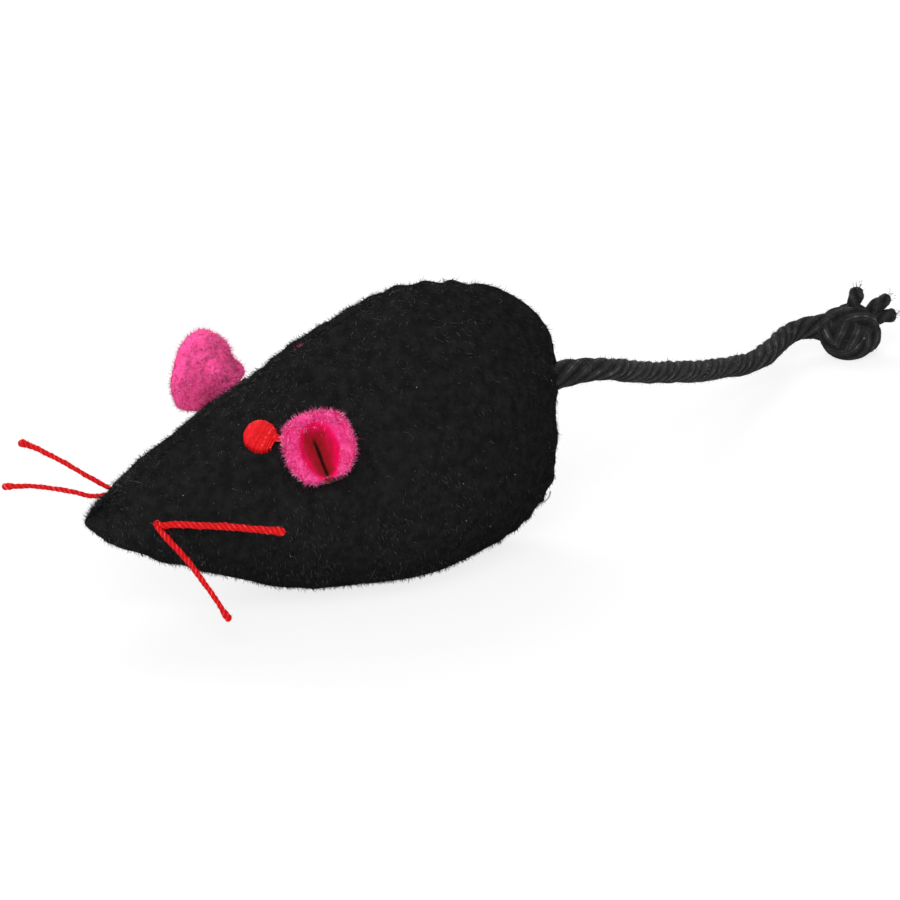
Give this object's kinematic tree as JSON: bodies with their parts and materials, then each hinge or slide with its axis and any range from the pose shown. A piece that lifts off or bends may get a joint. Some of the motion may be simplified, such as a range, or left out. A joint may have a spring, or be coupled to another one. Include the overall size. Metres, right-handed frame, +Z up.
{
  "type": "catnip mouse",
  "caption": "Small stuffed cat toy shaped like a mouse: tapered plush body with felt ears, stitched eyes, thread whiskers and a knotted cord tail; filled with fibre and catnip.",
  "frame": {"origin": "on the surface the mouse lies on, under the middle of the body's length, on the seam plane", "axes": "+X from the nose towards the tail, +Y towards the mouse's right side, +Z up"},
  "size_m": [0.1188, 0.0444, 0.0307],
  "materials": {
    "plush": "short black pile with a soft sheen",
    "filling": "loose white fibre",
    "catnip": "dried crushed leaf",
    "sewing_thread": "matt black thread",
    "felt": "fuzzy bright pink felt",
    "red_thread": "twisted red thread with a slight gloss",
    "tail_cord": "twisted black cord, slightly lustrous"
  },
  "bodies": {
    "body": {"left_side_panel": "plush", "right_side_panel": "plush", "fibre_stuffing": "filling", "catnip_filling": "catnip", "back_seam_thread": "sewing_thread", "belly_seam_thread": "sewing_thread", "left_eye": "red_thread", "right_eye": "red_thread", "left_ear_tack": "sewing_thread", "right_ear_tack": "sewing_thread", "upper_whisker_thread": "red_thread", "lower_whisker_thread": "red_thread", "tail_anchor": "tail_cord"},
    "left_ear": {"left_ear": "felt"},
    "right_ear": {"right_ear": "felt"},
    "left_rear_whisker": {"left_rear_whisker": "red_thread"},
    "left_lower_whisker": {"left_lower_whisker": "red_thread"},
    "right_upper_whisker": {"right_upper_whisker": "red_thread"},
    "right_front_whisker": {"right_front_whisker": "red_thread"},
    "tail_root": {"tail_root": "tail_cord"},
    "tail": {"tail_cord": "tail_cord", "tail_knot": "tail_cord"}
  },
  "joints": [
    {"name": "left_ear_flap", "type": "hinge", "parent": "body", "child": "left_ear", "pos_m": [-0.00587, -0.01128, 0.01657], "axis": [0.9093, -0.3409, 0.2388], "range_deg": [-15, 40], "stiffness_Nm_per_rad": 0.00005},
    {"name": "right_ear_flap", "type": "hinge", "parent": "body", "child": "right_ear", "pos_m": [-0.00363, 0.01167, 0.01814], "axis": [-0.5926, -0.2546, -0.7642], "range_deg": [-15, 40], "stiffness_Nm_per_rad": 0.00005},
    {"name": "left_rear_whisker_bend", "type": "hinge", "parent": "body", "child": "left_rear_whisker", "pos_m": [-0.02215, -0.00514, 0.01315], "axis": [0, 0, 1], "range_deg": [-40, 0], "stiffness_Nm_per_rad": 0.00002},
    {"name": "left_lower_whisker_bend", "type": "hinge", "parent": "body", "child": "left_lower_whisker", "pos_m": [-0.02215, -0.00525, 0.01185], "axis": [0, 0, 1], "range_deg": [-40, 10], "stiffness_Nm_per_rad": 0.00002},
    {"name": "right_upper_whisker_bend", "type": "hinge", "parent": "body", "child": "right_upper_whisker", "pos_m": [-0.02215, 0.00514, 0.01315], "axis": [0, 0, 1], "range_deg": [-40, 20], "stiffness_Nm_per_rad": 0.00002},
    {"name": "right_front_whisker_bend", "type": "hinge", "parent": "body", "child": "right_front_whisker", "pos_m": [-0.02215, 0.00525, 0.01185], "axis": [0, 0, 1], "range_deg": [-45, 20], "stiffness_Nm_per_rad": 0.00002},
    {"name": "tail_swing", "type": "hinge", "parent": "body", "child": "tail_root", "pos_m": [0.029, 0, 0.0176], "axis": [0, 0, 1], "range_deg": [-40, 40]},
    {"name": "tail_lift", "type": "hinge", "parent": "tail_root", "child": "tail", "pos_m": [0.0321, 0, 0.0176], "axis": [0, -1, 0], "range_deg": [0, 60]}
  ]
}
